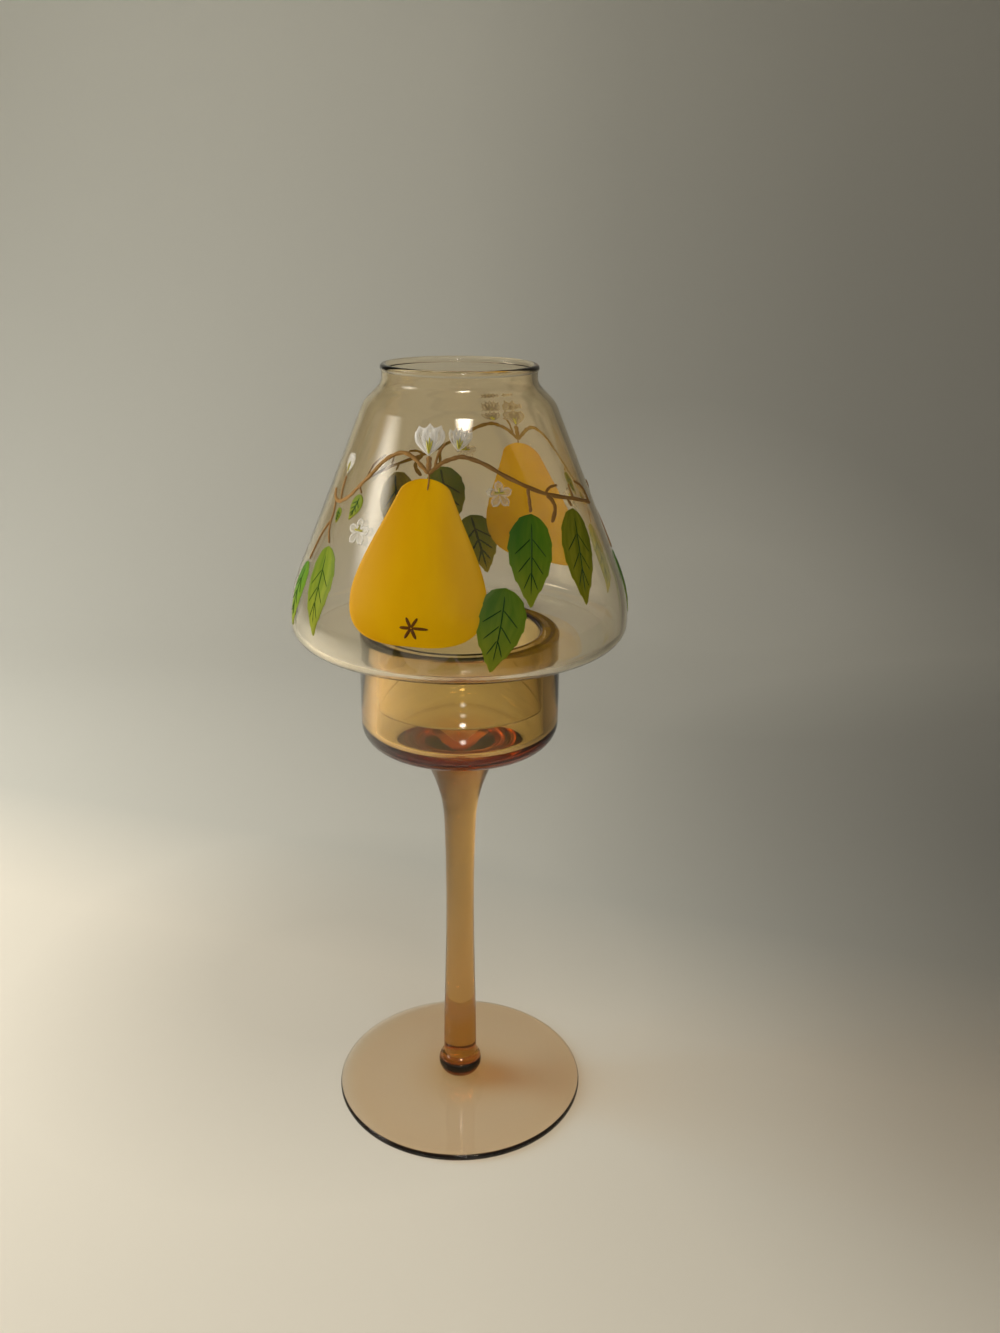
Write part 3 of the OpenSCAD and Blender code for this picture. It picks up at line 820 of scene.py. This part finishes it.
def floor_paint():
    """Warm white paper, cooler behind a line that runs aslant; painted shade makes it darker behind
    that line and to the right. Two painted shadows dim the floor, and a painted pool of light lights the
    foot of the wall."""
    n = Nodes("floor_paper_painted_shade")
    place = n.add("TexCoord").outputs["Object"]
    # Behind a slanted line the paper is cooler and painted darker, a painted shade
    slant = n.add("VectorMath", {0: place, 1: (0.39, 1, 0)}, operation="DOT_PRODUCT")
    back = n.value_ramp(slant.outputs["Value"], 0.05, 0.14)
    paper = n.mix(back, (0.63, 0.585, 0.475, 1), (0.475, 0.465, 0.395, 1))
    # Painted shade darkens the paper towards the right
    right = n.value_ramp(n.add("SeparateXYZ", {"Vector": place}).outputs["X"], 0.0, 0.6)
    shade = n.ramp(right, [(0.0, (1, 1, 1, 1)), (0.25, (0.87, 0.87, 0.87, 1)),
                           (0.6, (0.83, 0.83, 0.83, 1)), (1.0, (0.87, 0.87, 0.87, 1))])
    colour = n.add("VectorMath", {0: paper, 1: shade}, operation="MULTIPLY").outputs["Vector"]
    # The two painted shadows and the painted pool of light, each with its reach and the value at its
    # middle
    for spot, reach, value in ((DIM_SPOT, 0.34, 0.54), (NEAR_SHADOW_SPOT, 0.12, 0.8),
                               (LIT_SPOT, 0.24, 1.27)):
        away = n.add("VectorMath", {0: place, 1: spot}, operation="DISTANCE").outputs["Value"]
        factor = n.value_ramp(away, reach / 3, reach, value, 1.0)
        colour = n.add("VectorMath", {0: colour, 1: factor}, operation="MULTIPLY").outputs["Vector"]
    return n.surface(n.add("BsdfPrincipled", {"Base Color": colour, "Roughness": 1.0}))


# ---------------------------------------------------------------- build

holder = revolve("holder_glass", holder_outline(), 288, sharp_angle=30)
recalculate(holder.data)
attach(holder, "holder")
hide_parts("foot", "knop", "stem", "cup")

shade = revolve("shade_glass", shade_outline(), 288, closed=True, sharp_angle=30)
recalculate(shade.data)
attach(shade, "shade")
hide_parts("shade")

build_fruit()
build_eyes()
build_leaves()
build_veins()
build_twigs()
build_blossoms()

holder.data.materials.append(
    glass("amber_glass", (0.95, 0.97, 1, 1), (0.915, 0.72, 0.43, 1), 200.0, 0.12, AMBER_TINTS))
shade.data.materials.append(
    glass("clear_glass", (0.97, 0.97, 0.97, 1), (0.985, 0.87, 0.6, 1), 200.0, 0.1, CLEAR_TINTS))

PAINT = {
    "fruit_enamel": fruit_paint(),
    "leaf_enamel": leaf_paint(),
    "vein_enamel": vein_paint(),
    "fruit_eye_enamel": brown_paint("eye_paint", linear(70, 40, 12), linear(116, 74, 24)),
    "twig_enamel": brown_paint("twig_paint", linear(118, 86, 44), linear(158, 121, 70)),
    "blossom_enamel": petal_paint(),
    "stamen_enamel": stamen_paint(),
}
for piece_name, paint_material in PAINT.items():
    bpy.data.objects[piece_name].data.materials.append(paint_material)


# ---------------------------------------------------------------- stage, light, camera

FLOOR_DROP = 0.05
FLOOR_HALF = 1600
SWEEP_Y = 420
SWEEP_R = 420
WALL_H = 1500


def build_floor():
    """A pale sheet that runs back and curves up behind the object."""
    line = [(-FLOOR_HALF, -FLOOR_DROP)]
    line += arc(SWEEP_Y, SWEEP_R - FLOOR_DROP, SWEEP_R, -90, 0, 24)
    line += [(SWEEP_Y + SWEEP_R, WALL_H)]
    points = [(x, y, z) for y, z in line for x in (-FLOOR_HALF, FLOOR_HALF)]
    faces = [(2 * i, 2 * i + 1, 2 * i + 3, 2 * i + 2) for i in range(len(line) - 1)]
    floor = add_object("floor", points, faces)
    floor.data.materials.append(floor_paint())


def fade_out(lamp):
    """Lets a lamp's face grow dim from its middle to its edge."""
    lamp.use_nodes = True
    tree = lamp.node_tree
    face = tree.nodes.new("ShaderNodeNewGeometry")
    centred = tree.nodes.new("ShaderNodeVectorMath")
    centred.operation = "DISTANCE"
    centred.inputs[1].default_value = (0.5, 0.5, 0)
    fade = tree.nodes.new("ShaderNodeMapRange")
    fade.interpolation_type = "SMOOTHSTEP"
    for key, value in {"From Min": 0.0, "From Max": 0.5, "To Min": 1.0, "To Max": 0.0}.items():
        fade.inputs[key].default_value = value
    tree.links.new(face.outputs["Parametric"], centred.inputs[0])
    tree.links.new(centred.outputs["Value"], fade.inputs["Value"])
    tree.links.new(fade.outputs["Result"], tree.nodes["Emission"].inputs["Strength"])


def area_light(name, azimuth, elevation, distance, width, height, power, colour, mirrored):
    """A rectangular lamp aimed at the middle of the object. A mirrored one only shows in the
    glass. The others light the scene and don't show in it."""
    lamp = bpy.data.lights.new(name, "AREA")
    lamp.shape = "RECTANGLE"
    lamp.size, lamp.size_y, lamp.energy, lamp.color = width, height, power, colour
    holder_object = bpy.data.objects.new(name, lamp)
    a, e = math.radians(azimuth), math.radians(elevation)
    way = Vector((math.sin(a) * math.cos(e), -math.cos(a) * math.cos(e), math.sin(e)))
    holder_object.location = Vector((0, 0, 0.12)) + way * distance
    holder_object.rotation_mode = "QUATERNION"
    holder_object.rotation_quaternion = (-way).to_track_quat("-Z", "Y")
    holder_object.visible_camera = False
    holder_object.visible_diffuse = not mirrored
    holder_object.visible_glossy = mirrored
    holder_object.visible_transmission = mirrored
    if mirrored:
        fade_out(lamp)
    bpy.context.scene.collection.objects.link(holder_object)


# Small glints on the cup's front: elevation and power of each
GLINTS = ((-19, 0.018), (-16.3, 0.036), (-14.7, 0.008), (-12.9, 0.009))
ROOM_FILL = 0.05
ROOM_SEEN = 0.25


def build_light():
    area_light("window", -100, 24, 0.9, 0.5, 0.7, 9.2, (1.0, 1.0, 1.0), False)
    area_light("near_window", -87, 20, 0.6, 0.4, 0.5, 3.0, (1.0, 0.95, 0.9), False)
    area_light("room", 22, 20, 0.42, 0.2, 0.2, 0.55, (1.0, 0.97, 0.9), False)
    area_light("window_pane", -81, 26, 1.1, 0.7, 0.34, 4.8, (1.0, 0.98, 0.94), True)
    area_light("tube", 6, 42.8, 1.19, 0.46, 0.14, 14.0, (1.0, 0.95, 0.86), True)
    for number, (elevation, power) in enumerate(GLINTS):
        area_light(f"glint_{number}", 3, elevation, 0.3, 0.05, 0.006, power, (1.0, 0.95, 0.86), True)
    world = bpy.data.worlds.new("room")
    world.use_nodes = True
    background = world.node_tree.nodes["Background"]
    background.inputs["Color"].default_value = (0.9, 0.65, 0.5, 1)
    path = world.node_tree.nodes.new("ShaderNodeLightPath")
    strength = world.node_tree.nodes.new("ShaderNodeMapRange")
    strength.inputs["To Min"].default_value = ROOM_SEEN
    strength.inputs["To Max"].default_value = ROOM_FILL
    world.node_tree.links.new(path.outputs["Is Diffuse Ray"], strength.inputs["Value"])
    world.node_tree.links.new(strength.outputs["Result"], background.inputs["Strength"])
    world.cycles.sampling_method = "NONE"
    bpy.context.scene.world = world
    bpy.context.scene.view_settings.view_transform = "Standard"


PHOTO_W, PHOTO_H = 1000, 1333
FOCAL_PIXELS = 1190
SENSOR = 36
CAMERA_AT = (0, -0.3325, 0.2678)
PITCH, ROLL, YAW = (math.radians(a) for a in (19.857, 0.660, 2.048))


def build_camera():
    """A camera that sees the object as the photo does."""
    data = bpy.data.cameras.new("camera")
    data.sensor_fit = "AUTO"
    data.sensor_width = SENSOR
    data.lens = FOCAL_PIXELS * SENSOR / PHOTO_H
    data.clip_start, data.clip_end = 0.01, 20
    camera = bpy.data.objects.new("camera", data)
    ahead = Vector((math.sin(YAW) * math.cos(PITCH), math.cos(YAW) * math.cos(PITCH), -math.sin(PITCH)))
    right = Vector((math.cos(YAW), -math.sin(YAW), 0))
    up = right.cross(ahead)
    rolled_right = right * math.cos(ROLL) + up * math.sin(ROLL)
    rolled_up = up * math.cos(ROLL) - right * math.sin(ROLL)
    matrix = camera.matrix_world.to_3x3()
    for row in range(3):
        matrix[row] = (rolled_right[row], rolled_up[row], -ahead[row])
    camera.matrix_world = matrix.to_4x4()
    camera.location = CAMERA_AT
    bpy.context.scene.collection.objects.link(camera)
    bpy.context.scene.camera = camera


build_floor()
build_light()
build_camera()
